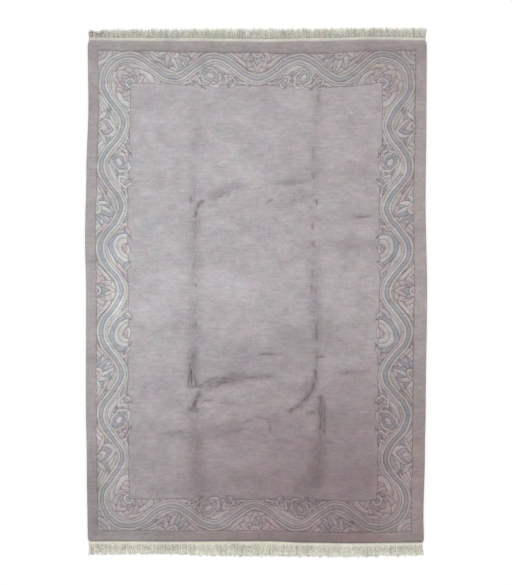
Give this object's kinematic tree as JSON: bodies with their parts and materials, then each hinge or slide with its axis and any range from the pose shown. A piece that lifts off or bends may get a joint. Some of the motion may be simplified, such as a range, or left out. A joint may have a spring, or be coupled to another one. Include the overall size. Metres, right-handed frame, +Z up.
{
  "type": "hand-knotted nepalese rug",
  "caption": "Rectangular knotted pile rug that lies flat, with a carved patterned border, old fold creases, and a woven web with a fringe at each end.",
  "frame": {"origin": "middle of the footprint, on the floor under the rug", "axes": "+Y along the rug from the bottom fringe to the top fringe, +X across it to the right as seen from above, +Z up out of the pile"},
  "size_m": [2.044, 3.1716, 0.0189],
  "materials": {
    "wool_pile": "knotted wool pile, matt with a soft sheen, mauve grey with slight streaks across",
    "cotton_fringe": "undyed cotton, matt, flat-woven web and loosely twisted warp ends"
  },
  "bodies": {
    "root": {"rug": "wool_pile", "fringe_top": "cotton_fringe", "fringe_bottom": "cotton_fringe"}
  },
  "joints": []
}
